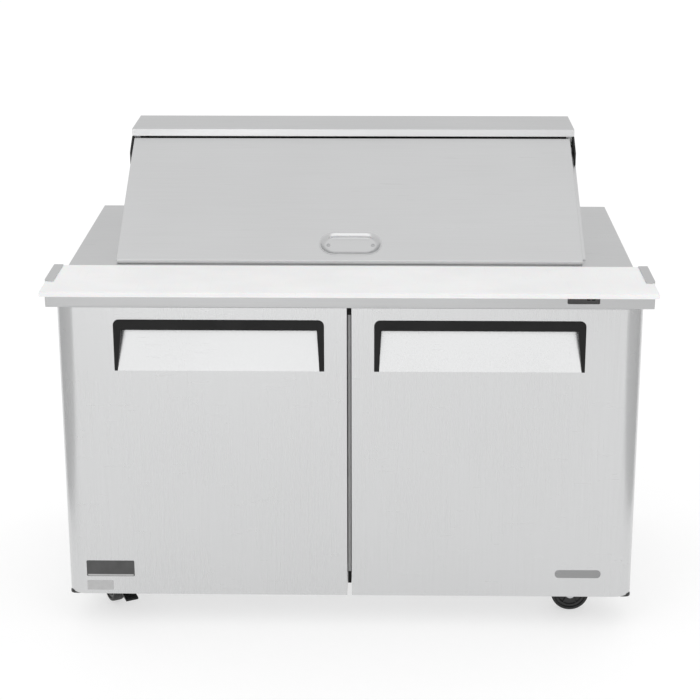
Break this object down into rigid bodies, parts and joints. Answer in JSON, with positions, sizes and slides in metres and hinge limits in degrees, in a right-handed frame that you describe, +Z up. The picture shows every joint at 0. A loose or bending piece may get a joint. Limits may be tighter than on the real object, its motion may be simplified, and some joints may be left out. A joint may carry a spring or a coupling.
{
  "type": "sandwich prep table",
  "caption": "Refrigerated counter on casters with pan well, sloped lift-up lid under a raised hood, full-width cutting board and hinged cabinet doors with recessed pulls",
  "frame": {"origin": "on the floor, under the middle of the bounding box", "axes": "+X to the right as seen from the front, +Y from the doors to the rear, +Z up"},
  "size_m": [1.528, 0.864, 1.222],
  "materials": {
    "stainless": "brushed stainless sheet, satin",
    "stainless_dull": "matt stainless and galvanised sheet",
    "polyethylene": "white cutting-board polyethylene, fine matt texture",
    "black_plastic": "moulded black plastic, fine grain",
    "white_plastic": "white vacuum-formed plastic",
    "gasket_grey": "soft dark grey vinyl gasket",
    "zinc": "bright zinc-plated pressed steel",
    "tyre_rubber": "black rubber tread on a moulded core",
    "fan_plastic": "black moulded fan plastic",
    "aluminium": "thin aluminium fins",
    "compressor_black": "semi-gloss black enamel",
    "display_glass": "glossy black window",
    "wire_coating": "pale epoxy-coated wire"
  },
  "bodies": {
    "table": {"cabinet_body": "stainless", "worktop": "stainless", "front_rail": "stainless", "hood_shell": "stainless", "board_bracket_left": "stainless", "board_bracket_right": "stainless", "interior_liner": "stainless_dull", "pan_frame": "stainless_dull", "pan_row_front": "stainless_dull", "pan_row_middle": "stainless_dull", "pan_row_rear": "stainless_dull", "machine_base": "stainless_dull", "rear_grille": "stainless_dull", "hood_liner": "black_plastic", "lid_pivot_bracket_left": "black_plastic", "lid_pivot_bracket_right": "black_plastic", "evaporator_cover": "white_plastic", "door_hinge_lower_left": "zinc", "door_hinge_lower_right": "zinc", "door_hinge_upper_left": "zinc", "door_hinge_upper_right": "zinc", "caster_mount_front_left": "zinc", "caster_mount_front_right": "zinc", "caster_mount_rear_left": "zinc", "caster_mount_rear_right": "zinc", "condenser_shroud": "zinc", "condenser_coil": "aluminium", "evaporator_coil": "aluminium", "compressor": "compressor_black", "temperature_display": "display_glass", "shelf_left": "wire_coating", "shelf_right": "wire_coating"},
    "lid": {"lid_panel": "stainless", "lid_liner": "white_plastic", "lid_handle": "stainless"},
    "board": {"cutting_board": "polyethylene"},
    "condenser_rotor": {"condenser_fan": "fan_plastic"},
    "evaporator_rotor": {"evaporator_fan": "fan_plastic"},
    "door_left": {"door_panel_left": "stainless", "door_liner_left": "white_plastic", "door_gasket_left": "gasket_grey", "handle_trim_left": "black_plastic"},
    "brake_front_left": {"brake_pedal_front_left": "black_plastic"},
    "door_right": {"door_panel_right": "stainless", "door_liner_right": "white_plastic", "door_gasket_right": "gasket_grey", "handle_trim_right": "black_plastic"},
    "brake_front_right": {"brake_pedal_front_right": "black_plastic"},
    "fork_front_left": {"caster_fork_front_left": "zinc", "caster_axle_front_left": "zinc"},
    "wheel_front_left": {"caster_wheel_front_left": "tyre_rubber"},
    "fork_front_right": {"caster_fork_front_right": "zinc", "caster_axle_front_right": "zinc"},
    "wheel_front_right": {"caster_wheel_front_right": "tyre_rubber"},
    "fork_rear_left": {"caster_fork_rear_left": "zinc", "caster_axle_rear_left": "zinc"},
    "wheel_rear_left": {"caster_wheel_rear_left": "tyre_rubber"},
    "fork_rear_right": {"caster_fork_rear_right": "zinc", "caster_axle_rear_right": "zinc"},
    "wheel_rear_right": {"caster_wheel_rear_right": "tyre_rubber"}
  },
  "joints": [
    {"name": "door_left_hinge", "type": "hinge", "parent": "table", "child": "door_left", "pos_m": [-0.725, -0.306, 0.49], "axis": [0, 0, -1], "range_deg": [0, 110]},
    {"name": "door_right_hinge", "type": "hinge", "parent": "table", "child": "door_right", "pos_m": [0.725, -0.306, 0.49], "axis": [0, 0, 1], "range_deg": [0, 110]},
    {"name": "lid_hinge", "type": "hinge", "parent": "table", "child": "lid", "pos_m": [0, 0.22993, 1.1797], "axis": [-1, 0, 0], "range_deg": [0, 120]},
    {"name": "board_slide", "type": "slide", "parent": "table", "child": "board", "axis": [0, -1, 0], "range_m": [0, 0.15]},
    {"name": "swivel_front_left", "type": "hinge", "parent": "table", "child": "fork_front_left", "pos_m": [-0.63, -0.215, 0.112], "axis": [0, 0, 1], "continuous": true},
    {"name": "spin_front_left", "type": "hinge", "parent": "fork_front_left", "child": "wheel_front_left", "pos_m": [-0.64725, -0.18114, 0.0508], "axis": [-0.891, -0.454, 0], "continuous": true},
    {"name": "brake_front_left", "type": "hinge", "parent": "fork_front_left", "child": "brake_front_left", "pos_m": [-0.6157, -0.24307, 0.1075], "axis": [0.891, 0.454, 0], "range_deg": [0, 12]},
    {"name": "swivel_front_right", "type": "hinge", "parent": "table", "child": "fork_front_right", "pos_m": [0.63, -0.215, 0.112], "axis": [0, 0, 1], "continuous": true},
    {"name": "spin_front_right", "type": "hinge", "parent": "fork_front_right", "child": "wheel_front_right", "pos_m": [0.592, -0.215, 0.0508], "axis": [0, -1, 0], "continuous": true},
    {"name": "brake_front_right", "type": "hinge", "parent": "fork_front_right", "child": "brake_front_right", "pos_m": [0.6615, -0.215, 0.1075], "axis": [0, 1, 0], "range_deg": [0, 12]},
    {"name": "swivel_rear_left", "type": "hinge", "parent": "table", "child": "fork_rear_left", "pos_m": [-0.63, 0.345, 0.112], "axis": [0, 0, 1], "continuous": true},
    {"name": "spin_rear_left", "type": "hinge", "parent": "fork_rear_left", "child": "wheel_rear_left", "pos_m": [-0.6234, 0.30758, 0.0508], "axis": [0.9848, 0.1736, 0], "continuous": true},
    {"name": "swivel_rear_right", "type": "hinge", "parent": "table", "child": "fork_rear_right", "pos_m": [0.63, 0.345, 0.112], "axis": [0, 0, 1], "continuous": true},
    {"name": "spin_rear_right", "type": "hinge", "parent": "fork_rear_right", "child": "wheel_rear_right", "pos_m": [0.62669, 0.30715, 0.0508], "axis": [0.9962, -0.0872, 0], "continuous": true},
    {"name": "condenser_fan_spin", "type": "hinge", "parent": "table", "child": "condenser_rotor", "pos_m": [0.28, 0.3647, 0.31], "axis": [0, 1, 0], "continuous": true},
    {"name": "evaporator_fan_spin", "type": "hinge", "parent": "table", "child": "evaporator_rotor", "pos_m": [0, 0.272, 0.735], "axis": [0, 1, 0], "continuous": true}
  ]
}
